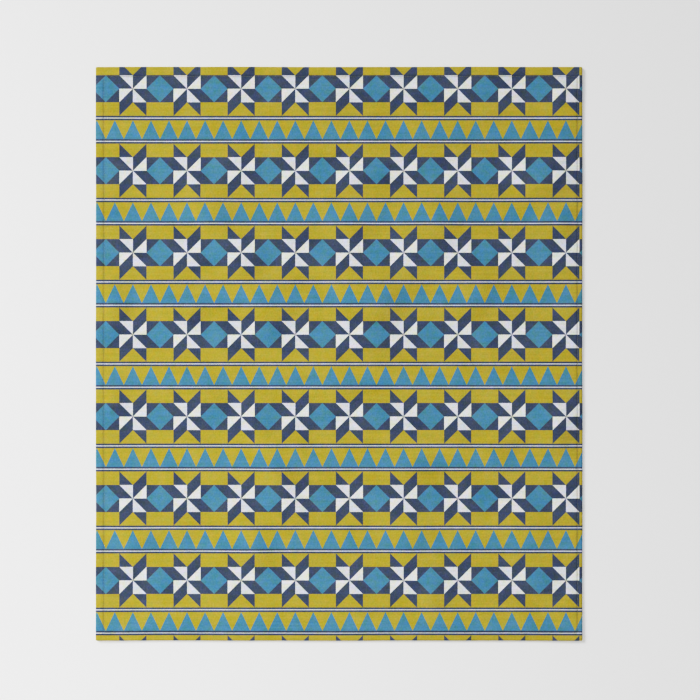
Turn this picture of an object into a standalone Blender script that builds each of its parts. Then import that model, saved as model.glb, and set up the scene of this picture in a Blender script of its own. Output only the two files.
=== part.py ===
"""A fleece throw blanket lying face up on a floor, built as one sheet of cloth.

Metres, +Z up. The origin is on the floor under the middle of the throw, +Y points to its top edge and
+X to its right edge. The sheet is one layer of fleece with a hem on all four sides: the edge is turned
to the back twice and stitched down, so the hem is three layers thick and has a rounded outer fold.
"""

from collections import namedtuple
from math import cos, hypot, pi, radians, sin, sqrt

import bmesh
import bpy

# Finished size of the throw
WIDTH = 1.295
LENGTH = 1.527
CORNER_RADIUS = 0.0030

# Thickness of the fleece, alone and where the hem's three layers are sewn together
CLOTH = 0.0028
HEM = 0.0048
CORNER_OVERLAP = 0.55  # share of the second hem's extra layers that a corner keeps once it is pressed flat

# Hem, from the edge to its row of stitches, which was sewn wider on some sides than on others
STITCH_LEFT = 0.0220
STITCH_RIGHT = 0.0125
STITCH_BOTTOM = 0.0215
STITCH_TOP = 0.0260
STITCH_TROUGH = 0.0006  # how far the row of stitches pulls the face down
TROUGH_HALF = 0.0040
SEAM_ALLOWANCE = 0.0030  # from the stitches to the turned edge on the back
HEM_HOLD = 0.80  # share of a fold's height that the heavier hem presses down at the edge
HEM_HOLD_REACH = 0.060
HEM_RAMP = 0.110  # width over which the face comes down from the hem to the open cloth
TURNED_EDGE_STEP = 0.0006

# Outer fold of the hem, a half round with a narrow flat at its middle
RIM = 0.0024
RIM_FLAT = 0.35

# Edge unevenness: how far the outline wanders inwards, and how far that reaches into the cloth
DRIFT = 0.0009
DRIFT_REACH = 0.060
DRIFT_WAVE_LONG = 0.71
DRIFT_WAVE_SHORT = 0.29

# Grid of the sheet: rows by the edge, rows by the stitches, and even cells inside
EDGE_ROWS = (0.0, RIM / 3, RIM, CORNER_RADIUS)
STITCH_ROWS = (
    -TROUGH_HALF,
    0.0,
    SEAM_ALLOWANCE,
    SEAM_ALLOWANCE + TURNED_EDGE_STEP,
)
CELL = 0.038

# Folds: soft ridges where the cloth stands off the floor. Each rises gently on its upper left and falls
# steeply on its lower right.
#   x, y      middle of the steep side
#   length    from end to end
#   steep     width of the steep side
#   gentle    width of the gentle side
#   height    of the crest above the floor
#   turn      direction of the crest in degrees, counted from +X
#   bow       how far the ends bend towards the gentle side
Fold = namedtuple("Fold", "x y length steep gentle height turn bow")
FOLDS = (
    Fold(-0.305, 0.354, 0.160, 0.078, 0.190, 0.0062, 50, 0.004),
    Fold(-0.222, 0.222, 0.170, 0.070, 0.170, 0.0042, 48, 0.008),
    Fold(-0.572, 0.112, 0.150, 0.078, 0.180, 0.0058, 52, 0.000),
    Fold(-0.379, 0.078, 0.180, 0.070, 0.180, 0.0042, 58, 0.010),
    Fold(-0.152, 0.074, 0.180, 0.074, 0.180, 0.0054, 48, 0.004),
    Fold(0.152, 0.122, 0.200, 0.105, 0.210, 0.0084, 62, -0.014),
    Fold(0.110, -0.004, 0.180, 0.105, 0.190, 0.0052, 36, 0.004),
    Fold(0.394, 0.138, 0.180, 0.065, 0.160, 0.0042, 55, 0.008),
    Fold(0.065, 0.305, 0.170, 0.066, 0.180, 0.0036, 46, 0.008),
    Fold(0.300, 0.345, 0.200, 0.090, 0.170, 0.0044, 48, 0.000),
    Fold(0.245, 0.250, 0.200, 0.060, 0.160, 0.0034, 28, -0.008),
    Fold(0.560, 0.425, 0.270, 0.068, 0.190, 0.0060, 15, -0.004),
    Fold(0.620, 0.325, 0.150, 0.066, 0.180, 0.0040, 50, 0.000),
    Fold(0.616, -0.215, 0.260, 0.080, 0.190, 0.0068, 58, 0.000),
    Fold(0.448, -0.255, 0.180, 0.056, 0.150, 0.0040, 22, 0.006),
    Fold(0.340, -0.212, 0.160, 0.060, 0.150, 0.0024, 22, 0.000),
    Fold(0.082, 0.438, 0.240, 0.062, 0.160, 0.0024, 6, 0.008),
    Fold(0.233, 0.502, 0.160, 0.055, 0.140, 0.0026, 25, 0.000),
    Fold(-0.005, 0.655, 0.180, 0.085, 0.170, 0.0040, 42, 0.004),
    Fold(-0.122, -0.328, 0.190, 0.105, 0.190, 0.0058, 58, 0.004),
    Fold(-0.112, -0.415, 0.180, 0.115, 0.190, 0.0062, 44, 0.000),
    Fold(-0.025, -0.362, 0.150, 0.066, 0.140, 0.0020, 50, 0.000),
    Fold(-0.190, -0.210, 0.150, 0.060, 0.140, 0.0028, 35, 0.000),
    Fold(0.025, -0.122, 0.140, 0.060, 0.140, 0.0028, 38, 0.000),
    Fold(-0.207, -0.576, 0.180, 0.080, 0.170, 0.0050, 36, 0.004),
    Fold(-0.275, -0.640, 0.150, 0.070, 0.150, 0.0026, 36, 0.000),
    Fold(0.225, -0.497, 0.170, 0.062, 0.150, 0.0038, 44, 0.004),
    Fold(0.268, -0.655, 0.150, 0.080, 0.170, 0.0056, 46, 0.000),
    Fold(0.545, -0.502, 0.170, 0.062, 0.150, 0.0032, 40, 0.006),
    Fold(0.548, -0.640, 0.160, 0.070, 0.150, 0.0030, 30, 0.000),
    Fold(-0.622, -0.655, 0.130, 0.060, 0.100, 0.0042, 45, 0.000),
    Fold(-0.505, -0.500, 0.150, 0.066, 0.140, 0.0038, 45, 0.006),
    Fold(-0.360, -0.150, 0.160, 0.058, 0.140, 0.0024, 24, 0.000),
    Fold(-0.602, -0.160, 0.120, 0.055, 0.110, 0.0036, 20, 0.000),
    Fold(-0.632, -0.085, 0.110, 0.055, 0.090, 0.0030, 45, 0.000),
    Fold(0.198, -0.345, 0.180, 0.060, 0.140, 0.0026, 14, 0.000),
    Fold(0.620, 0.695, 0.140, 0.062, 0.130, 0.0024, 50, 0.000),
)

PRINT_MEAN_COLOR = (0.209, 0.254, 0.165, 1.0)
FLEECE_ROUGHNESS = 0.92


def bell(t):
    """A soft bump: 1 at the middle and 0 from -1 and 1 on."""
    return 0.5 * (1 + cos(pi * t)) if abs(t) < 1 else 0.0


def fade(t):
    """Falls smoothly from 1 at 0 to 0 at 1."""
    t = min(max(t, 0.0), 1.0)
    return 1 - t * t * (3 - 2 * t)


def fold_height(fold, x, y):
    """What one fold adds to the height of the cloth at a point."""
    turn = radians(fold.turn)
    along = (x - fold.x) * cos(turn) + (y - fold.y) * sin(turn)
    across = (x - fold.x) * sin(turn) - (y - fold.y) * cos(turn)
    end = along / (fold.length / 2)
    from_crest = across + fold.steep / 2 + fold.bow * end * end
    side = fold.steep if from_crest > 0 else fold.gentle
    return fold.height * bell(end) * bell(from_crest / side)


def lift(x, y):
    """Height of the cloth's back above the floor, where only folds lift it."""
    near_hem = fade(min(WIDTH / 2 - abs(x), LENGTH / 2 - abs(y)) / HEM_HOLD_REACH)
    return (1 - HEM_HOLD * near_hem) * sum(fold_height(fold, x, y) for fold in FOLDS)


def grid_lines(span, low_stitch, high_stitch):
    """Places of the grid lines across one side of the sheet, from its low edge to its high edge."""
    low = [*EDGE_ROWS, *(low_stitch + row for row in STITCH_ROWS)]
    high = [*EDGE_ROWS, *(high_stitch + row for row in STITCH_ROWS)]
    start = low[-1]
    inside = span - start - high[-1]
    cells = round(inside / CELL)
    middle = [start + inside * cell / cells for cell in range(1, cells)]
    lines = low + middle + [span - row for row in reversed(high)]
    return [line - span / 2 for line in lines]


def nearest_edge(place, span, low_stitch, high_stitch):
    """Distance to the nearer edge across one side, with the distance of that edge's stitches."""
    if place < 0:
        return place + span / 2, low_stitch
    return span / 2 - place, high_stitch


def hem_share(depth, stitch):
    """1 over the hem, then down to 0 where the cloth is a single layer again."""
    return fade((depth - stitch - SEAM_ALLOWANCE) / HEM_RAMP)


def sheet_surfaces(x, y):
    """Heights of the back and of the face over the floor that they lie on, with no folds."""
    depth_x, stitch_x = nearest_edge(x, WIDTH, STITCH_LEFT, STITCH_RIGHT)
    depth_y, stitch_y = nearest_edge(y, LENGTH, STITCH_BOTTOM, STITCH_TOP)
    share_x = hem_share(depth_x, stitch_x)
    share_y = hem_share(depth_y, stitch_y)
    layers = share_x + share_y - (1 - CORNER_OVERLAP) * share_x * share_y
    face = CLOTH + (HEM - CLOTH) * layers
    over_strip = depth_x <= stitch_x + SEAM_ALLOWANCE or depth_y <= stitch_y + SEAM_ALLOWANCE
    back = 0.0 if over_strip else face - CLOTH
    trough = max(bell((depth_x - stitch_x) / TROUGH_HALF), bell((depth_y - stitch_y) / TROUGH_HALF))
    face -= STITCH_TROUGH * trough
    rim = min(depth_x, depth_y)
    if rim < RIM:
        round_share = RIM_FLAT + (1 - RIM_FLAT) * sqrt(1 - (1 - rim / RIM) ** 2)
        middle = (face + back) / 2
        back = middle + (back - middle) * round_share
        face = middle + (face - middle) * round_share
    return back, face


def wander(along, phase):
    """How far an edge lies inside the straight line at a place along it."""
    long_wave = sin(2 * pi * along / DRIFT_WAVE_LONG + phase)
    short_wave = sin(2 * pi * along / DRIFT_WAVE_SHORT + 2 * phase)
    return DRIFT * (0.5 + 0.33 * long_wave + 0.17 * short_wave)


def outline_place(x, y):
    """Moves a point of the plain rectangle to the throw's own outline: round corners, uneven edges."""
    inward_x = CORNER_RADIUS - (WIDTH / 2 - abs(x))
    inward_y = CORNER_RADIUS - (LENGTH / 2 - abs(y))
    side_x = 1 if x > 0 else -1
    side_y = 1 if y > 0 else -1
    if inward_x > 0 and inward_y > 0:
        pull = max(inward_x, inward_y) / hypot(inward_x, inward_y)
        x -= side_x * inward_x * (1 - pull)
        y -= side_y * inward_y * (1 - pull)
    reach_x = fade((WIDTH / 2 - abs(x)) / DRIFT_REACH)
    reach_y = fade((LENGTH / 2 - abs(y)) / DRIFT_REACH)
    moved_x = x - side_x * reach_x * wander(y, 1.1 * side_x)
    moved_y = y - side_y * reach_y * wander(x, 0.4 + 1.3 * side_y)
    return moved_x, moved_y


def fleece_material():
    """Matte fleece in the mean colour of the print."""
    material = bpy.data.materials.new("printed_fleece")
    material.use_nodes = True
    shader = material.node_tree.nodes["Principled BSDF"]
    shader.inputs["Base Color"].default_value = PRINT_MEAN_COLOR
    shader.inputs["Roughness"].default_value = FLEECE_ROUGHNESS
    shader.inputs["Metallic"].default_value = 0.0
    return material


def throw_blanket():
    """The sheet: a grid for the back, extruded to the face, with both laid over the folds."""
    columns = grid_lines(WIDTH, STITCH_LEFT, STITCH_RIGHT)
    rows = grid_lines(LENGTH, STITCH_BOTTOM, STITCH_TOP)
    cells_x = len(columns) - 1
    cells_y = len(rows) - 1
    bm = bmesh.new()
    bmesh.ops.create_grid(bm, x_segments=cells_x, y_segments=cells_y, size=0.5)
    back = list(bm.verts)
    face_region = bmesh.ops.extrude_face_region(bm, geom=list(bm.faces), use_keep_orig=True)
    face = [item for item in face_region["geom"] if isinstance(item, bmesh.types.BMVert)]
    for vertices, surface in ((back, 0), (face, 1)):
        for vertex in vertices:
            x = columns[round((vertex.co.x + 0.5) * cells_x)]
            y = rows[round((vertex.co.y + 0.5) * cells_y)]
            height = sheet_surfaces(x, y)[surface]
            place_x, place_y = outline_place(x, y)
            vertex.co = (place_x, place_y, height + lift(place_x, place_y))
    bmesh.ops.recalc_face_normals(bm, faces=list(bm.faces))
    mesh = bpy.data.meshes.new("throw_blanket")
    bm.to_mesh(mesh)
    bm.free()
    mesh.shade_smooth()
    mesh.materials.append(fleece_material())
    return bpy.data.objects.new("throw_blanket", mesh)


for old in list(bpy.data.objects):
    bpy.data.objects.remove(old, do_unlink=True)
throw = bpy.data.collections.new("throw_blanket_parts")
bpy.context.scene.collection.children.link(throw)
throw.objects.link(throw_blanket())
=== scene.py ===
"""Looks of a printed fleece throw lying face up on a pale floor.

Metres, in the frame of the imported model: the floor is z = 0, +Y points to the throw's top edge and +X to
its right edge. The cloth is one fine sheet over the same named sizes and folds as the solid it replaces,
with its hem's stitches as thread on the face and on the back.
"""

from collections import namedtuple
from math import acos, cos, hypot, pi, radians, sin, sqrt
from random import Random

import bmesh
import bpy
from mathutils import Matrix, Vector


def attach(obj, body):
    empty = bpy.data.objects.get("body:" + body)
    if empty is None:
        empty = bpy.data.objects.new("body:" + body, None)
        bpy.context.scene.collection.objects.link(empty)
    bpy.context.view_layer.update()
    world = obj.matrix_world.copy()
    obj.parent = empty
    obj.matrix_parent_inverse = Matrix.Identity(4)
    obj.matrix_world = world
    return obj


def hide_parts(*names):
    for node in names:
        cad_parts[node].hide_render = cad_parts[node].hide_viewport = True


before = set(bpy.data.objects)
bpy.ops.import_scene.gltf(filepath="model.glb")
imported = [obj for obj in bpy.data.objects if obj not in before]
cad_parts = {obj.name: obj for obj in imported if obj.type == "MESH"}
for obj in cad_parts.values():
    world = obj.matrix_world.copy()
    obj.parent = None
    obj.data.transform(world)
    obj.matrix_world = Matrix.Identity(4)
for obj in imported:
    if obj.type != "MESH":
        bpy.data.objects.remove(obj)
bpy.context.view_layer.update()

# Finished size of the throw
WIDTH = 1.295
LENGTH = 1.527
CORNER_RADIUS = 0.0030

# Thickness of the fleece, alone and where the hem's three layers are sewn together
CLOTH = 0.0028
HEM = 0.0048
CORNER_OVERLAP = 0.55  # share of the second hem's extra layers that a corner keeps once it is pressed flat

# Hem, from the edge to its row of stitches
STITCH_LEFT = 0.0220
STITCH_RIGHT = 0.0125
STITCH_BOTTOM = 0.0215
STITCH_TOP = 0.0260
STITCH_TROUGH = 0.0006  # how far the row of stitches pulls the face down
BACK_TROUGH = 0.0005  # how far it pulls the back up
TROUGH_HALF = 0.0040
SEAM_ALLOWANCE = 0.0030  # from the stitches to the turned edge on the back
HEM_HOLD = 0.80  # share of a fold's height that the heavier hem presses down at the edge
HEM_HOLD_REACH = 0.060
HEM_RAMP = 0.110  # width over which the face comes down from the hem to the open cloth
TURNED_EDGE_ROUND = 0.0009
TURNED_EDGE_STEP = 0.0005  # width of the small step down from the turned edge to the plain back

# Outer fold of the hem
RIM = 0.0024
RIM_FLAT = 0.20  # share of the hem's thickness that stands upright at the fold's middle
RIM_STEPS = 4

# Edge unevenness: how far the outline wanders inwards, how far that reaches into the cloth, and its waves
DRIFT = 0.0009
DRIFT_REACH = 0.060
DRIFT_WAVE_LONG = 0.71
DRIFT_WAVE_SHORT = 0.29
DRIFT_MEAN = 0.50
DRIFT_SHARE_LONG = 0.33
DRIFT_SHARE_SHORT = 0.17
SIDE_PHASE = 1.1  # of the waves along the left and the right edge
END_PHASE = 0.4  # of those along the top and the bottom edge
END_PHASE_STEP = 1.3

# Ripples that the stitches pull into the hem, which bunch up and spread out along it
PUCKER = 0.00030
PUCKER_WAVE = 0.027
PUCKER_SLANT = 0.9
BUNCHING = 3
BUNCHING_RATE = 9

# Slight swells of the open cloth
SWELL = 0.00022
Wave = namedtuple("Wave", "across up phase")
SWELL_WAVES = (Wave(0.231, 0.118, 0.4), Wave(-0.142, 0.263, 1.9), Wave(0.327, -0.201, 3.1))

# Grid of the fine sheet: even cells, with closer rows by the stitches and the turned edge
GRID_HALF = 0.5
CELL = 0.0077
TROUGH_ROWS = (-TROUGH_HALF, -0.0026, -0.0012, 0.0, 0.0010)
TURNED_ROWS = (SEAM_ALLOWANCE - TURNED_EDGE_ROUND, SEAM_ALLOWANCE - 0.0003, SEAM_ALLOWANCE)
PAST_HEM_ROWS = (SEAM_ALLOWANCE + 0.0004, TROUGH_HALF)

# The sheet's two surfaces
BACK = 0
FACE = 1

# Maps of the cloth: its flat place in metres, and its place in a square picture of its colours, with the
# printed side and its turned hem at the left and the plain back at the right
FLAT_MAP = "flat_cloth"
PICTURE_MAP = "OFBake"
PICTURED_HEM = 0.034  # how far the turned strips reach past the finished edge when laid flat
PRINTED_SPAN = (0.004, 0.780)
PLAIN_SPAN = (0.790, 0.996)
PICTURE_SPAN = (0.004, 0.996)

# Folds, as in the solid: soft ridges where the cloth stands off the floor. Each rises gently on its upper
# left and falls steeply on its lower right.
#   x, y      middle of the steep side
#   length    from end to end
#   steep     width of the steep side
#   gentle    width of the gentle side
#   height    of the crest above the floor
#   turn      direction of the crest in degrees, counted from +X
#   bow       how far the ends bend towards the gentle side
Fold = namedtuple("Fold", "x y length steep gentle height turn bow")
FOLDS = (
    Fold(-0.305, 0.354, 0.160, 0.078, 0.190, 0.0062, 50, 0.004),
    Fold(-0.222, 0.222, 0.170, 0.070, 0.170, 0.0042, 48, 0.008),
    Fold(-0.572, 0.112, 0.150, 0.078, 0.180, 0.0058, 52, 0.000),
    Fold(-0.379, 0.078, 0.180, 0.070, 0.180, 0.0042, 58, 0.010),
    Fold(-0.152, 0.074, 0.180, 0.074, 0.180, 0.0054, 48, 0.004),
    Fold(0.152, 0.122, 0.200, 0.105, 0.210, 0.0084, 62, -0.014),
    Fold(0.110, -0.004, 0.180, 0.105, 0.190, 0.0052, 36, 0.004),
    Fold(0.394, 0.138, 0.180, 0.065, 0.160, 0.0042, 55, 0.008),
    Fold(0.065, 0.305, 0.170, 0.066, 0.180, 0.0036, 46, 0.008),
    Fold(0.300, 0.345, 0.200, 0.090, 0.170, 0.0044, 48, 0.000),
    Fold(0.245, 0.250, 0.200, 0.060, 0.160, 0.0034, 28, -0.008),
    Fold(0.560, 0.425, 0.270, 0.068, 0.190, 0.0060, 15, -0.004),
    Fold(0.620, 0.325, 0.150, 0.066, 0.180, 0.0040, 50, 0.000),
    Fold(0.616, -0.215, 0.260, 0.080, 0.190, 0.0068, 58, 0.000),
    Fold(0.448, -0.255, 0.180, 0.056, 0.150, 0.0040, 22, 0.006),
    Fold(0.340, -0.212, 0.160, 0.060, 0.150, 0.0024, 22, 0.000),
    Fold(0.082, 0.438, 0.240, 0.062, 0.160, 0.0024, 6, 0.008),
    Fold(0.233, 0.502, 0.160, 0.055, 0.140, 0.0026, 25, 0.000),
    Fold(-0.005, 0.655, 0.180, 0.085, 0.170, 0.0040, 42, 0.004),
    Fold(-0.122, -0.328, 0.190, 0.105, 0.190, 0.0058, 58, 0.004),
    Fold(-0.112, -0.415, 0.180, 0.115, 0.190, 0.0062, 44, 0.000),
    Fold(-0.025, -0.362, 0.150, 0.066, 0.140, 0.0020, 50, 0.000),
    Fold(-0.190, -0.210, 0.150, 0.060, 0.140, 0.0028, 35, 0.000),
    Fold(0.025, -0.122, 0.140, 0.060, 0.140, 0.0028, 38, 0.000),
    Fold(-0.207, -0.576, 0.180, 0.080, 0.170, 0.0050, 36, 0.004),
    Fold(-0.275, -0.640, 0.150, 0.070, 0.150, 0.0026, 36, 0.000),
    Fold(0.225, -0.497, 0.170, 0.062, 0.150, 0.0038, 44, 0.004),
    Fold(0.268, -0.655, 0.150, 0.080, 0.170, 0.0056, 46, 0.000),
    Fold(0.545, -0.502, 0.170, 0.062, 0.150, 0.0032, 40, 0.006),
    Fold(0.548, -0.640, 0.160, 0.070, 0.150, 0.0030, 30, 0.000),
    Fold(-0.622, -0.655, 0.130, 0.060, 0.100, 0.0042, 45, 0.000),
    Fold(-0.505, -0.500, 0.150, 0.066, 0.140, 0.0038, 45, 0.006),
    Fold(-0.360, -0.150, 0.160, 0.058, 0.140, 0.0024, 24, 0.000),
    Fold(-0.602, -0.160, 0.120, 0.055, 0.110, 0.0036, 20, 0.000),
    Fold(-0.632, -0.085, 0.110, 0.055, 0.090, 0.0030, 45, 0.000),
    Fold(0.198, -0.345, 0.180, 0.060, 0.140, 0.0026, 14, 0.000),
    Fold(0.620, 0.695, 0.140, 0.062, 0.130, 0.0024, 50, 0.000),
)

# Printed patchwork: rows of eight-pointed star blocks between bands of triangles
UNIT = 0.036
BLOCK_UNITS = 4
CENTRE_HALF = 1  # half the side of a block's middle square, in units
BLOCK = BLOCK_UNITS * UNIT
STRIPE = 0.012
LINE = 0.0026
TRIANGLE_BASE = 0.048
TRIANGLE_HEIGHT = 0.050
BAND = TRIANGLE_HEIGHT + 2 * STRIPE
REPEAT = BLOCK + BAND
PRINT_SHIFT = (0.0445, 0.0210)
PRINT_SOFTNESS = 0.0005
PRINT_BLEED = 0.0007

# Painted shade: darker lines along the stitches, where the pile sinks into a trough, and along the edge's
# fold
SEAM_PAINTED_SHADE = 0.17
SEAM_PAINTED_SHADE_HALF = 0.0065
EDGE_PAINTED_SHADE = 0.14
EDGE_PAINTED_SHADE_HALF = 0.0040

# Grains of the fleece: the pile's fibres and tufts, patches where it is brushed another way, streaks along
# the knitted rows, patches that differ a little in hue, and the frayed edge of the print
Grain = namedtuple("Grain", "size detail roughness")
FIBRE = Grain(0.0009, 3, 0.65)
TUFT = Grain(0.0042, 2, 0.55)
BRUSHED = Grain(0.0700, 2, 0.60)
STREAK = Grain(0.0050, 1, 0.50)
MOTTLE = Grain(0.0140, 2, 0.60)
BLEED = Grain(0.0016, 1, 0.50)
STREAK_STRETCH = 0.03  # how much less a streak changes along its row than across it

# Relief and gloss of the pile
FIBRE_HEIGHT = 0.00022
TUFT_HEIGHT = 0.00050
FLEECE_ROUGHNESS = 0.95
FLEECE_SPECULAR = 0.10
FLEECE_SHEEN = 0.16
FLEECE_SHEEN_ROUGHNESS = 0.50

# How much each grain lightens and darkens the printed face and the plain back
FIBRE_SHADE = 0.16
TUFT_SHADE = 0.26
BRUSHED_SHADE = 0.10
STREAK_SHADE = 0.180
PLAIN_FIBRE_SHADE = 0.14
PLAIN_TUFT_SHADE = 0.10

# Share of white pile that shows through the print, and how each grain changes it
FROST = 0.035
FROST_FIBRE = 0.08
FROST_TUFT = 0.050
FROST_BRUSHED = 0.06

# How far the mottled patches differ in red and in blue
MOTTLE_RED = 0.42
MOTTLE_BLUE = 0.90

# Dyes, as reflectance in linear light
MUSTARD = (0.400, 0.313, 0.038, 1)
BLUE = (0.071, 0.218, 0.330, 1)
NAVY = (0.050, 0.070, 0.119, 1)
WHITE = (0.705, 0.716, 0.680, 1)
LILAC = (0.632, 0.645, 0.690, 1)
PLAIN_BACK = (0.620, 0.610, 0.580, 1)
THREAD_COLOR = (0.300, 0.310, 0.230, 1)
FLOOR_COLOR = (0.800, 0.800, 0.800, 1)

# Sewing thread and its twist, with painted shade in the twist's grooves and painted light on its ridges
THREAD = 0.00042
THREAD_SIDES = 5
THREAD_ROUGHNESS = 0.70
THREAD_SHEEN = 0.2
TWIST_PITCH = 0.0006
TWIST_SLANT = 0.8
TWIST_PAINTED_SHADE = 0.10
TWIST_HEIGHT = 0.00003

# One stitch. Its straight middle and the steps in which its ends dip into the cloth are shares of the pitch
STITCH_PITCH = 0.0032
STITCH_HALF = 0.28
Dip = namedtuple("Dip", "forward down width")
STITCH_DIPS = (Dip(0.12, 0.09, 0.92), Dip(0.09, 0.26, 0.80))
NEAR_END = 0.9  # an end's face has its middle past this share of the half length

# How the stitches lie: slanted, raised over the trough by a share of the thread's width, and a little uneven
STITCH_SLANT = 0.00016
STITCH_RISE = 0.30
SIDE_PLAY = 0.00006
HEIGHT_PLAY = 0.00004

# Floor
FLOOR_SIDE = 80
FLOOR_CELLS = 4
FLOOR_GRAIN = Grain(0.4, 2, 0.50)
FLOOR_SHADE = 0.004
FLOOR_ROUGHNESS = 0.9
FLOOR_SPECULAR = 0.1

# Light: a pale sky, a low and wide sun as the window, and two soft lamps
SKY_STRENGTH = 0.35
WINDOW_POWER = 2.13
WINDOW_SPREAD = radians(18)
WINDOW_DIRECTION = (0.72, -0.54, -0.40)
Softbox = namedtuple("Softbox", "name place size power")
SOFTBOXES = (
    Softbox("upper_left_box", (-2.63, 0.84, 2.6), 1.2, 38.8),
    Softbox("lower_left_box", (-1.15, -2.25, 2.6), 1.0, 28.7),
)

# Camera straight above, framing the photograph's 700 pixels
PHOTO_SIDE_PX = 700
THROW_MIDDLE_PX = (339.09, 353.77)
METRES_PER_PX = 0.0026597
LENS_MM = 85
SENSOR_MM = 36

# How the camera shows light: soft in the highlights, firmer in the dark tones
Tone = namedtuple("Tone", "light shown")
TONES = (
    Tone(0.0263, 0.010),
    Tone(0.0627, 0.040),
    Tone(0.1040, 0.090),
    Tone(0.2160, 0.250),
    Tone(0.3600, 0.450),
    Tone(0.6260, 0.700),
    Tone(0.8800, 0.850),
)
BRIGHTEST_TONE = Tone(1.0, 0.905)
ALL_CHANNELS = 3  # place of the curve that acts on red, green and blue alike


def bell(t):
    """A soft bump: 1 at the middle and 0 from -1 and 1 on."""
    return 0.5 * (1 + cos(pi * t)) if abs(t) < 1 else 0.0


def fade(t):
    """Falls smoothly from 1 at 0 to 0 at 1."""
    t = min(max(t, 0.0), 1.0)
    return 1 - t * t * (3 - 2 * t)


def fold_height(fold, x, y):
    """What one fold adds to the height of the cloth at a point."""
    reach = fold.length / 2 + fold.steep + fold.gentle
    if abs(x - fold.x) > reach or abs(y - fold.y) > reach:
        return 0.0
    turn = radians(fold.turn)
    along = (x - fold.x) * cos(turn) + (y - fold.y) * sin(turn)
    across = (x - fold.x) * sin(turn) - (y - fold.y) * cos(turn)
    end = along / (fold.length / 2)
    from_crest = across + fold.steep / 2 + fold.bow * end * end
    side = fold.steep if from_crest > 0 else fold.gentle
    return fold.height * bell(end) * bell(from_crest / side)


def lift(x, y):
    """Height of the cloth's back above the floor, where folds and slight swells lift it."""
    swell = sum(sin(2 * pi * (x / wave.across + y / wave.up) + wave.phase) for wave in SWELL_WAVES)
    near_hem = fade(min(WIDTH / 2 - abs(x), LENGTH / 2 - abs(y)) / HEM_HOLD_REACH)
    folds = (1 - HEM_HOLD * near_hem) * sum(fold_height(fold, x, y) for fold in FOLDS)
    return folds + SWELL * (1 + swell / len(SWELL_WAVES))


def edge_rows(stitch):
    """Distances of the grid lines from one edge, from the rim to just past the hem."""
    rim = [RIM * (1 - cos(pi / 2 * step / RIM_STEPS)) for step in range(RIM_STEPS + 1)]
    flat_start = rim[-1]
    flat_end = stitch - TROUGH_HALF
    cells = max(1, round((flat_end - flat_start) / CELL))
    flat = [flat_start + (flat_end - flat_start) * cell / cells for cell in range(1, cells)]
    sewn = [stitch + row for row in (*TROUGH_ROWS, *TURNED_ROWS, *PAST_HEM_ROWS)]
    return rim + flat + sewn


def grid_lines(span, low_stitch, high_stitch):
    """Places of the grid lines across one side of the sheet, from its low edge to its high edge."""
    low = edge_rows(low_stitch)
    high = edge_rows(high_stitch)
    start = low[-1]
    inside = span - start - high[-1]
    cells = round(inside / CELL)
    middle = [start + inside * cell / cells for cell in range(1, cells)]
    lines = low + middle + [span - row for row in reversed(high)]
    return [line - span / 2 for line in lines]


def nearest_edge(place, span, low_stitch, high_stitch):
    """Distance to the nearer edge across one side, with the distance of that edge's stitches."""
    if place < 0:
        return place + span / 2, low_stitch
    return span / 2 - place, high_stitch


def hem_share(depth, stitch):
    """1 over the hem, then down to 0 where the cloth is a single layer again."""
    return fade((depth - stitch - SEAM_ALLOWANCE) / HEM_RAMP)


def pucker(along, depth, stitch):
    """Slanted ripples that the stitches pull into the hem, on both sides of their row."""
    near = bell((depth - stitch) / (stitch + SEAM_ALLOWANCE))
    bunching = BUNCHING * sin(BUNCHING_RATE * along)
    return PUCKER * near * sin(2 * pi * (along + PUCKER_SLANT * depth) / PUCKER_WAVE + bunching)


def sheet_surfaces(x, y):
    """Heights of the back and of the face over the floor that they lie on, with no folds."""
    depth_x, stitch_x = nearest_edge(x, WIDTH, STITCH_LEFT, STITCH_RIGHT)
    depth_y, stitch_y = nearest_edge(y, LENGTH, STITCH_BOTTOM, STITCH_TOP)
    share_x = hem_share(depth_x, stitch_x)
    share_y = hem_share(depth_y, stitch_y)
    layers = share_x + share_y - (1 - CORNER_OVERLAP) * share_x * share_y
    face = CLOTH + (HEM - CLOTH) * layers
    past_x = depth_x - stitch_x - SEAM_ALLOWANCE
    past_y = depth_y - stitch_y - SEAM_ALLOWANCE
    past = min(past_x, past_y)
    trough_x = bell((depth_x - stitch_x) / TROUGH_HALF) if past_y > -SEAM_ALLOWANCE else 0.0
    trough_y = bell((depth_y - stitch_y) / TROUGH_HALF) if past_x > -SEAM_ALLOWANCE else 0.0
    trough = max(trough_x, trough_y)
    if past > 0:
        back = face - CLOTH
    elif past > -TURNED_EDGE_ROUND:
        rounding = 1 - sqrt(1 - (1 + past / TURNED_EDGE_ROUND) ** 2)
        back = TURNED_EDGE_ROUND * rounding
    else:
        back = 0.0
    back += BACK_TROUGH * trough * (past <= 0)
    face += pucker(y, depth_x, stitch_x) + pucker(x, depth_y, stitch_y) - STITCH_TROUGH * trough
    rim = min(depth_x, depth_y)
    if rim < RIM:
        round_share = RIM_FLAT + (1 - RIM_FLAT) * sqrt(1 - (1 - rim / RIM) ** 2)
        middle = (face + back) / 2
        back = middle + (back - middle) * round_share
        face = middle + (face - middle) * round_share
    return back, face


def wander(along, phase):
    """How far an edge lies inside the straight line at a place along it."""
    long_wave = sin(2 * pi * along / DRIFT_WAVE_LONG + phase)
    short_wave = sin(2 * pi * along / DRIFT_WAVE_SHORT + 2 * phase)
    return DRIFT * (DRIFT_MEAN + DRIFT_SHARE_LONG * long_wave + DRIFT_SHARE_SHORT * short_wave)


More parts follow.
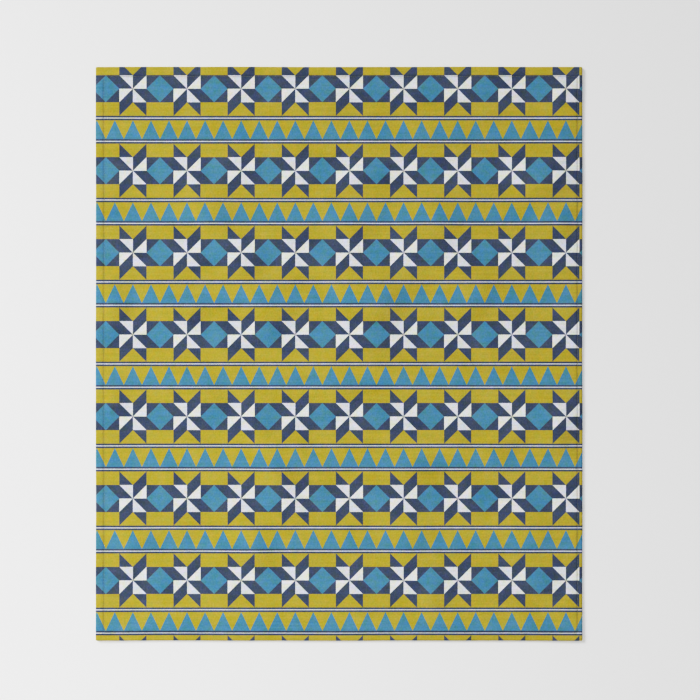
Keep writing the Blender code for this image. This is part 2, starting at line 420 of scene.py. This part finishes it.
def outline_place(x, y):
    """Moves a point of the plain rectangle to the throw's own outline: round corners, uneven edges."""
    inward_x = CORNER_RADIUS - (WIDTH / 2 - abs(x))
    inward_y = CORNER_RADIUS - (LENGTH / 2 - abs(y))
    side_x = 1 if x > 0 else -1
    side_y = 1 if y > 0 else -1
    if inward_x > 0 and inward_y > 0:
        pull = max(inward_x, inward_y) / hypot(inward_x, inward_y)
        x -= side_x * inward_x * (1 - pull)
        y -= side_y * inward_y * (1 - pull)
    reach_x = fade((WIDTH / 2 - abs(x)) / DRIFT_REACH)
    reach_y = fade((LENGTH / 2 - abs(y)) / DRIFT_REACH)
    moved_x = x - side_x * reach_x * wander(y, SIDE_PHASE * side_x)
    moved_y = y - side_y * reach_y * wander(x, END_PHASE + END_PHASE_STEP * side_y)
    return moved_x, moved_y


class Value:
    """One output of a shader node. Python's signs on it add Math nodes to its material."""

    def __init__(self, finish, socket):
        self.finish = finish
        self.socket = socket

    def __add__(self, other):
        return self.finish.math("ADD", self, other)

    def __radd__(self, other):
        return self.finish.math("ADD", other, self)

    def __sub__(self, other):
        return self.finish.math("SUBTRACT", self, other)

    def __rsub__(self, other):
        return self.finish.math("SUBTRACT", other, self)

    def __mul__(self, other):
        return self.finish.math("MULTIPLY", self, other)

    def __rmul__(self, other):
        return self.finish.math("MULTIPLY", other, self)

    def __truediv__(self, other):
        return self.finish.math("DIVIDE", self, other)

    def __mod__(self, other):
        return self.finish.math("FLOORED_MODULO", self, other)

    def __abs__(self):
        return self.finish.math("ABSOLUTE", self)


class Finish:
    """A material while it is written. node() adds any node and gives back one of its outputs."""

    def __init__(self, name):
        self.material = bpy.data.materials.new(name)
        self.material.use_nodes = True
        self.tree = self.material.node_tree
        self.shader = self.tree.nodes["Principled BSDF"]

    def feed(self, socket, value):
        """Links a Value to a socket, or sets the socket to a number or colour."""
        if isinstance(value, Value):
            self.tree.links.new(value.socket, socket)
        else:
            socket.default_value = value

    def node(self, kind, settings=(), sockets=(), output=0):
        """Adds a node with its settings, then with the numbers, colours or Values of its sockets."""
        made = self.tree.nodes.new(kind)
        for name, setting in dict(settings).items():
            setattr(made, name, setting)
        for place, value in dict(sockets).items():
            self.feed(made.inputs[place], value)
        return Value(self, made.outputs[output])

    def math(self, operation, *values, clamp=False):
        """A Math node on one, two or three values."""
        return self.node("ShaderNodeMath", {"operation": operation, "use_clamp": clamp}, enumerate(values))

    def mix(self, share, low, high):
        """A colour from low, where share is 0, to high, where it is 1."""
        # Sockets 6 and 7 and output 2 are the node's colour ones, which share their names with others
        settings = {"data_type": "RGBA", "clamp_factor": True}
        return self.node("ShaderNodeMix", settings, {0: share, 6: low, 7: high}, 2)

    def scaled(self, colour, factor):
        """A colour made lighter or darker by a factor."""
        base = colour if isinstance(colour, Value) else colour[:3]
        return self.node("ShaderNodeVectorMath", {"operation": "SCALE"}, {"Vector": base, "Scale": factor})

    def part(self, vector, axis):
        """One of a vector's three numbers: "X", "Y" or "Z", which are also a colour's red, green and blue."""
        return self.node("ShaderNodeSeparateXYZ", {}, {"Vector": vector}, axis)

    def past(self, value, limit, softness):
        """1 where value is past limit and 0 before it, with a soft step between."""
        return self.math("MULTIPLY_ADD", value - limit, 1 / softness, 0.5, clamp=True)

    def noise(self, place, grain, output=0):
        """Noise from 0 to 1, with features of about the grain's size in metres."""
        settings = {"noise_dimensions": "2D"}
        sockets = {
            "Vector": place,
            "Scale": 1 / grain.size,
            "Detail": grain.detail,
            "Roughness": grain.roughness,
        }
        return self.node("ShaderNodeTexNoise", settings, sockets, output)

    def constant(self, **values):
        """Sets the shader's own sockets to what is the same all over."""
        for name, value in values.items():
            self.shader.inputs[name.replace("_", " ")].default_value = value

    def colour(self, value):
        self.feed(self.shader.inputs["Base Color"], value)

    def bump(self, height):
        """Gives the surface a relief, whose height is in metres."""
        relief = self.node("ShaderNodeBump", {}, {"Height": height, "Distance": 1.0, "Strength": 1.0})
        self.feed(self.shader.inputs["Normal"], relief)


def print_colour(finish, across, up):
    """The patchwork print at a place on the flat cloth."""
    soft = PRINT_SOFTNESS / UNIT
    star_x = (across / UNIT) % BLOCK_UNITS - BLOCK_UNITS / 2
    row = up % REPEAT
    star_y = row / UNIT - BLOCK_UNITS / 2
    far_x = abs(star_x)
    far_y = abs(star_y)
    outer_x = finish.past(far_x, CENTRE_HALF, soft)
    outer_y = finish.past(far_y, CENTRE_HALF, soft)
    centre = (1 - outer_x) * (1 - outer_y)
    side = outer_x * (1 - outer_y)
    top = outer_y * (1 - outer_x)
    quarter = finish.math("SIGN", star_x * star_y)
    blade = finish.past((far_x - far_y) * quarter, 0, soft)
    side_point = finish.past(far_y - far_x, -CENTRE_HALF, soft)
    top_point = finish.past(far_x - far_y, -CENTRE_HALF, soft)
    star = finish.mix(side * (1 - side_point), MUSTARD, BLUE)
    star = finish.mix(side * side_point + top * top_point + centre * (1 - blade), star, NAVY)
    pale = finish.mix(finish.past(quarter, 0, soft), LILAC, WHITE)
    star = finish.mix(centre * blade, star, pale)

    band = row - BLOCK
    depth = finish.math("MINIMUM", band, BAND - band)
    triangle_x = abs((across / TRIANGLE_BASE) % 1 - 0.5) * 2
    triangle_y = (band - STRIPE) / TRIANGLE_HEIGHT
    triangle = finish.past(1 - triangle_y - triangle_x, 0, PRINT_SOFTNESS / TRIANGLE_HEIGHT)
    pieced = finish.mix(triangle, MUSTARD, BLUE)
    pieced = finish.mix(finish.past(depth, STRIPE, PRINT_SOFTNESS), NAVY, pieced)
    line = finish.past(LINE / 2 - abs(depth - STRIPE / 2), 0, PRINT_SOFTNESS)
    pieced = finish.mix(line, pieced, LILAC)
    return finish.mix(finish.past(row, BLOCK, PRINT_SOFTNESS), star, pieced)


def edge_distance(finish, across, up):
    """Distance on the flat cloth to the nearest finished edge."""
    return abs(finish.math("MAXIMUM", abs(across) - WIDTH / 2, abs(up) - LENGTH / 2))


def line_share(finish, distance, half_width):
    """1 on a line, down to 0 where the distance to it is its half width."""
    return finish.math("MULTIPLY_ADD", distance, -1 / half_width, 1, clamp=True)


def mottled(finish, flat, colour):
    """A dyed colour in patches that are a little redder, greener or bluer."""
    hue = finish.noise(flat, MOTTLE, "Color")
    red = finish.part(hue, "X") - 0.5
    blue = finish.part(hue, "Z") - 0.5
    channels = {"X": 1 + red * MOTTLE_RED, "Y": 1.0, "Z": 1 + blue * MOTTLE_BLUE}
    tint = finish.node("ShaderNodeCombineXYZ", {}, channels)
    return finish.node("ShaderNodeVectorMath", {"operation": "MULTIPLY"}, {0: colour, 1: tint})


def stitch_distance(finish, across, up):
    """Distance on the flat cloth to the nearest row of stitches."""
    middle_x = (STITCH_LEFT - STITCH_RIGHT) / 2
    middle_y = (STITCH_BOTTOM - STITCH_TOP) / 2
    half_x = (WIDTH - STITCH_LEFT - STITCH_RIGHT) / 2
    half_y = (LENGTH - STITCH_BOTTOM - STITCH_TOP) / 2
    return abs(finish.math("MAXIMUM", abs(across - middle_x) - half_x, abs(up - middle_y) - half_y))


def fleece_nap(finish, place):
    """The brushed pile: fine fibres and small tufts, as values round 0."""
    fibre = finish.noise(place, FIBRE) - 0.5
    tuft = finish.noise(place, TUFT) - 0.5
    return fibre, tuft


def fleece_surface(finish, fibre, tuft):
    """What printed and plain fleece share: relief, roughness and the soft sheen of its pile."""
    finish.bump(fibre * FIBRE_HEIGHT + tuft * TUFT_HEIGHT)
    finish.constant(Roughness=FLEECE_ROUGHNESS, Specular_IOR_Level=FLEECE_SPECULAR)
    finish.constant(Sheen_Weight=FLEECE_SHEEN, Sheen_Roughness=FLEECE_SHEEN_ROUGHNESS)


def printed_fleece():
    """Fleece with the patchwork printed on it. The print follows the flat cloth round the hem."""
    finish = Finish("printed_fleece_face")
    flat = finish.node("ShaderNodeUVMap", {"uv_map": FLAT_MAP})
    bleed = finish.noise(flat, BLEED, "Color")
    bleed_x = finish.part(bleed, "X") - 0.5
    bleed_y = finish.part(bleed, "Y") - 0.5
    across = finish.part(flat, "X") + bleed_x * PRINT_BLEED
    up = finish.part(flat, "Y") + bleed_y * PRINT_BLEED
    printed = print_colour(finish, across + PRINT_SHIFT[0], up + PRINT_SHIFT[1])
    fibre, tuft = fleece_nap(finish, flat)
    brushed = finish.noise(flat, BRUSHED) - 0.5
    row_place = finish.node("ShaderNodeCombineXYZ", {}, {"X": across * STREAK_STRETCH, "Y": up})
    streak = finish.noise(row_place, STREAK) - 0.5
    frost = FROST + fibre * FROST_FIBRE + tuft * FROST_TUFT + brushed * FROST_BRUSHED
    frosted = finish.mix(frost, printed, WHITE)
    # Painted shade: the colour is darkened along the rows of stitches and along the edge's fold
    seam_shade_mask = line_share(finish, stitch_distance(finish, across, up), SEAM_PAINTED_SHADE_HALF)
    # Painted shade along the edge's fold, darkening the rim that the lamps light
    edge_shade_mask = line_share(finish, edge_distance(finish, across, up), EDGE_PAINTED_SHADE_HALF)
    painted_shade = (1 - seam_shade_mask * SEAM_PAINTED_SHADE) * (1 - edge_shade_mask * EDGE_PAINTED_SHADE)
    speckled = 1 + fibre * FIBRE_SHADE + tuft * TUFT_SHADE + brushed * BRUSHED_SHADE + streak * STREAK_SHADE
    finish.colour(finish.scaled(mottled(finish, flat, frosted), speckled * painted_shade))
    fleece_surface(finish, fibre, tuft)
    return finish.material


def plain_fleece():
    """The unprinted back."""
    finish = Finish("plain_fleece_back")
    flat = finish.node("ShaderNodeUVMap", {"uv_map": FLAT_MAP})
    fibre, tuft = fleece_nap(finish, flat)
    finish.colour(finish.scaled(PLAIN_BACK, 1 + fibre * PLAIN_FIBRE_SHADE + tuft * PLAIN_TUFT_SHADE))
    fleece_surface(finish, fibre, tuft)
    return finish.material


def sewing_thread():
    """Spun thread, with its twist as a fine slanted relief and as painted shade in its grooves."""
    finish = Finish("sewing_thread")
    place = finish.node("ShaderNodeTexCoord", {}, {}, "Object")
    x = finish.part(place, "X")
    y = finish.part(place, "Y")
    twist = finish.math("SINE", (x + y * TWIST_SLANT) * (2 * pi / TWIST_PITCH))
    # Painted shade and light: the colour darkens in the twist's grooves and lightens on its ridges, with the
    # relief's own wave
    finish.colour(finish.scaled(THREAD_COLOR, 1 + twist * TWIST_PAINTED_SHADE))
    finish.bump(twist * TWIST_HEIGHT)
    finish.constant(Roughness=THREAD_ROUGHNESS, Sheen_Weight=THREAD_SHEEN)
    return finish.material


def pale_floor():
    """Matte pale floor."""
    finish = Finish("pale_floor")
    place = finish.node("ShaderNodeTexCoord", {}, {}, "Object")
    grain = finish.noise(place, FLOOR_GRAIN) - 0.5
    finish.colour(finish.scaled(FLOOR_COLOR, 1 + grain * FLOOR_SHADE))
    finish.constant(Roughness=FLOOR_ROUGHNESS, Specular_IOR_Level=FLOOR_SPECULAR)
    return finish.material


def round_the_hem(place, span, behind):
    """Place across the flat cloth, measured along the cloth as it goes round the hem's outer fold."""
    depth = span / 2 - abs(place)
    from_fold = RIM * acos(max(1 - depth / RIM, 0.0)) + max(depth - RIM, 0.0)
    spare = (pi / 2 - 1) * RIM
    flat_depth = -from_fold - spare - RIM_FLAT * HEM if behind else from_fold - spare
    return (span / 2 - flat_depth) * (1 if place > 0 else -1)


def picture_place(x, y, printed):
    """Where a point of the flat cloth lies in the picture of its colours."""
    left, right = PRINTED_SPAN if printed else PLAIN_SPAN
    bottom, top = PICTURE_SPAN
    across = 0.5 + x / (WIDTH + 2 * PICTURED_HEM)
    up = 0.5 + y / (LENGTH + 2 * PICTURED_HEM)
    return left + (right - left) * across, bottom + (top - bottom) * up


def map_cloth(bm, flat_place, back_faces, back_vertices):
    """Gives each face its material, and each of its corners a place on the flat cloth and in the picture."""
    flat = bm.loops.layers.uv.new(FLAT_MAP)
    picture = bm.loops.layers.uv.new(PICTURE_MAP)
    for polygon in bm.faces:
        middle_x = sum(flat_place[v][0] for v in polygon.verts) / len(polygon.verts)
        middle_y = sum(flat_place[v][1] for v in polygon.verts) / len(polygon.verts)
        depth_x, stitch_x = nearest_edge(middle_x, WIDTH, STITCH_LEFT, STITCH_RIGHT)
        depth_y, stitch_y = nearest_edge(middle_y, LENGTH, STITCH_BOTTOM, STITCH_TOP)
        hem_x = stitch_x + SEAM_ALLOWANCE - depth_x
        hem_y = stitch_y + SEAM_ALLOWANCE - depth_y
        printed = polygon not in back_faces or max(hem_x, hem_y) > -TURNED_EDGE_STEP
        polygon.material_index = 0 if printed else 1
        polygon.smooth = True
        for loop in polygon.loops:
            x, y = flat_place[loop.vert]
            if printed:
                behind = loop.vert in back_vertices
                x = round_the_hem(x, WIDTH, behind and depth_x < depth_y)
                y = round_the_hem(y, LENGTH, behind and depth_x >= depth_y)
            loop[flat].uv = (x, y)
            loop[picture].uv = picture_place(x, y, printed)


def throw_sheet():
    """The cloth: a fine grid for the back, extruded to the face, both laid over the folds."""
    columns = grid_lines(WIDTH, STITCH_LEFT, STITCH_RIGHT)
    rows = grid_lines(LENGTH, STITCH_BOTTOM, STITCH_TOP)
    cells_x = len(columns) - 1
    cells_y = len(rows) - 1
    bm = bmesh.new()
    bmesh.ops.create_grid(bm, x_segments=cells_x, y_segments=cells_y, size=GRID_HALF)
    back_faces = set(bm.faces)
    back = list(bm.verts)
    raised = bmesh.ops.extrude_face_region(bm, geom=list(bm.faces), use_keep_orig=True)
    face = [item for item in raised["geom"] if isinstance(item, bmesh.types.BMVert)]
    flat_place = {}
    for vertices, surface in ((back, BACK), (face, FACE)):
        for vertex in vertices:
            x = columns[round((vertex.co.x + GRID_HALF) * cells_x)]
            y = rows[round((vertex.co.y + GRID_HALF) * cells_y)]
            place_x, place_y = outline_place(x, y)
            height = sheet_surfaces(x, y)[surface]
            vertex.co = (place_x, place_y, height + lift(place_x, place_y))
            flat_place[vertex] = (x, y)
    bmesh.ops.recalc_face_normals(bm, faces=list(bm.faces))
    map_cloth(bm, flat_place, back_faces, set(back))
    mesh = bpy.data.meshes.new("fleece_throw")
    bm.to_mesh(mesh)
    bm.free()
    mesh.materials.append(printed_fleece())
    mesh.materials.append(plain_fleece())
    sheet = bpy.data.objects.new("fleece_throw", mesh)
    bpy.context.scene.collection.objects.link(sheet)
    return sheet


def select_only(obj):
    """Makes an object the only one selected, and the active one."""
    bpy.ops.object.select_all(action="DESELECT")
    obj.select_set(True)
    bpy.context.view_layer.objects.active = obj


def select_faces(obj, test):
    """In edit mode, selects the faces whose middle passes a test, and nothing else."""
    bpy.ops.mesh.select_mode(type="FACE")
    bpy.ops.mesh.select_all(action="DESELECT")
    bm = bmesh.from_edit_mesh(obj.data)
    for polygon in bm.faces:
        if test(polygon.calc_center_median()):
            polygon.select_set(True)
    bmesh.update_edit_mesh(obj.data)


def single_stitch():
    """One lockstitch along X: a short thread that dips into the cloth at both ends."""
    bpy.ops.object.select_all(action="DESELECT")
    half = STITCH_HALF * STITCH_PITCH
    bpy.ops.mesh.primitive_cylinder_add(
        vertices=THREAD_SIDES, radius=THREAD / 2, depth=2 * half, rotation=(0, pi / 2, 0)
    )
    stitch = bpy.context.object
    bpy.ops.object.transform_apply(location=True, rotation=True, scale=True)
    bpy.ops.object.mode_set(mode="EDIT")
    for end in (-1, 1):
        select_faces(stitch, lambda middle: middle.x * end > NEAR_END * half)
        for dip in STITCH_DIPS:
            move = (end * dip.forward * STITCH_PITCH, 0, -dip.down * STITCH_PITCH)
            bpy.ops.mesh.extrude_region_move(TRANSFORM_OT_translate={"value": move})
            bpy.ops.transform.resize(value=(dip.width, dip.width, dip.width))
    bpy.ops.object.mode_set(mode="OBJECT")
    return stitch


def seam_row(stitch, name, along_x, start, end, fixed, surface):
    """Copies the stitch along one side's seam and lays the copies into its trough."""
    count = round((end - start) / STITCH_PITCH)
    pitch = (end - start) / count
    row = stitch.copy()
    row.data = stitch.data.copy()
    row.name = name
    bpy.context.scene.collection.objects.link(row)
    select_only(row)
    repeat = row.modifiers.new("stitches", "ARRAY")
    repeat.count = count
    repeat.use_relative_offset = False
    repeat.use_constant_offset = True
    repeat.constant_offset_displace = (pitch, 0, 0)
    bpy.ops.object.modifier_apply(modifier=repeat.name)
    chance = Random(name)
    play = [(chance.uniform(-1, 1), chance.uniform(-1, 1)) for _ in range(count)]
    for vertex in row.data.vertices:
        number = min(max(int((vertex.co.x + pitch / 2) / pitch), 0), count - 1)
        aside, upward = play[number]
        local = vertex.co.x - number * pitch
        side = vertex.co.y + STITCH_SLANT * local / (STITCH_PITCH / 2) + SIDE_PLAY * aside
        along = start + pitch / 2 + vertex.co.x
        x, y = (along, fixed + side) if along_x else (fixed - side, along)
        base_x, base_y = (along, fixed) if along_x else (fixed, along)
        ground = sheet_surfaces(base_x, base_y)[surface]
        place_x, place_y = outline_place(x, y)
        above = vertex.co.z + THREAD * STITCH_RISE + HEIGHT_PLAY * upward
        height = ground + above if surface == FACE else ground - above
        vertex.co = (place_x, place_y, height + lift(place_x, place_y))
    return row


def seam(name, surface, thread):
    """The whole row of stitches round the throw, on the face or on the back."""
    stitch = single_stitch()
    left = STITCH_LEFT - WIDTH / 2
    right = WIDTH / 2 - STITCH_RIGHT
    bottom = STITCH_BOTTOM - LENGTH / 2
    top = LENGTH / 2 - STITCH_TOP
    rows = [
        seam_row(stitch, name + "_bottom", True, left, right, bottom, surface),
        seam_row(stitch, name + "_top", True, left, right, top, surface),
        seam_row(stitch, name + "_left", False, bottom, top, left, surface),
        seam_row(stitch, name + "_right", False, bottom, top, right, surface),
    ]
    bpy.data.objects.remove(stitch, do_unlink=True)
    bpy.ops.object.select_all(action="DESELECT")
    for row in rows:
        row.select_set(True)
    bpy.context.view_layer.objects.active = rows[0]
    bpy.ops.object.join()
    joined = bpy.context.object
    joined.name = name
    joined.data.name = name
    joined.data.materials.clear()
    joined.data.materials.append(thread)
    bpy.ops.object.mode_set(mode="EDIT")
    bpy.ops.mesh.select_all(action="SELECT")
    bpy.ops.mesh.normals_make_consistent(inside=False)
    bpy.ops.object.mode_set(mode="OBJECT")
    bpy.ops.object.shade_smooth()
    return joined


def camera():
    """Looks straight down, so that the throw lies in the picture as it does in the photograph."""
    data = bpy.data.cameras.new("photo_camera")
    data.lens = LENS_MM
    data.sensor_width = SENSOR_MM
    made = bpy.data.objects.new("photo_camera", data)
    x = (PHOTO_SIDE_PX / 2 - THROW_MIDDLE_PX[0]) * METRES_PER_PX
    y = (THROW_MIDDLE_PX[1] - PHOTO_SIDE_PX / 2) * METRES_PER_PX
    distance = LENS_MM / SENSOR_MM * PHOTO_SIDE_PX * METRES_PER_PX
    made.location = (x, y, distance + HEM)
    bpy.context.scene.collection.objects.link(made)
    bpy.context.scene.camera = made


def soft_lamp(box):
    """A square lamp that faces the middle of the throw and casts no shadow."""
    data = bpy.data.lights.new(box.name, "AREA")
    data.shape = "SQUARE"
    data.size = box.size
    data.energy = box.power
    data.use_shadow = False
    lamp = bpy.data.objects.new(box.name, data)
    lamp.location = box.place
    lamp.rotation_euler = (-Vector(box.place)).to_track_quat("-Z", "Y").to_euler()
    bpy.context.scene.collection.objects.link(lamp)


def studio():
    """Pale floor under soft light that comes mostly from the upper left."""
    bpy.ops.object.select_all(action="DESELECT")
    bpy.ops.mesh.primitive_grid_add(x_subdivisions=FLOOR_CELLS, y_subdivisions=FLOOR_CELLS, size=FLOOR_SIDE)
    floor = bpy.context.object
    floor.name = "studio_floor"
    floor.data.materials.append(pale_floor())
    sky = bpy.data.worlds.new("studio_light")
    sky.use_nodes = True
    background = sky.node_tree.nodes["Background"]
    background.inputs["Color"].default_value = (1, 1, 1, 1)
    background.inputs["Strength"].default_value = SKY_STRENGTH
    bpy.context.scene.world = sky
    window = bpy.data.lights.new("window", "SUN")
    window.energy = WINDOW_POWER
    window.angle = WINDOW_SPREAD
    lamp = bpy.data.objects.new("window", window)
    lamp.rotation_euler = Vector(WINDOW_DIRECTION).to_track_quat("-Z", "Y").to_euler()
    bpy.context.scene.collection.objects.link(lamp)
    for box in SOFTBOXES:
        soft_lamp(box)


def camera_response():
    """Shows the light as the photograph does, through one tone curve."""
    view = bpy.context.scene.view_settings
    view.view_transform = "Standard"
    view.use_curve_mapping = True
    curve = view.curve_mapping.curves[ALL_CHANNELS]
    for tone in TONES:
        curve.points.new(tone.light, tone.shown)
    curve.points[-1].location = BRIGHTEST_TONE
    view.curve_mapping.update()


camera()
thread_finish = sewing_thread()
studio()
camera_response()

cloth = throw_sheet()
face_seam = seam("face_stitches", FACE, thread_finish)
back_seam = seam("back_stitches", BACK, thread_finish)
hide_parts("throw_blanket")
for piece in (cloth, face_seam, back_seam):
    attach(piece, "root")
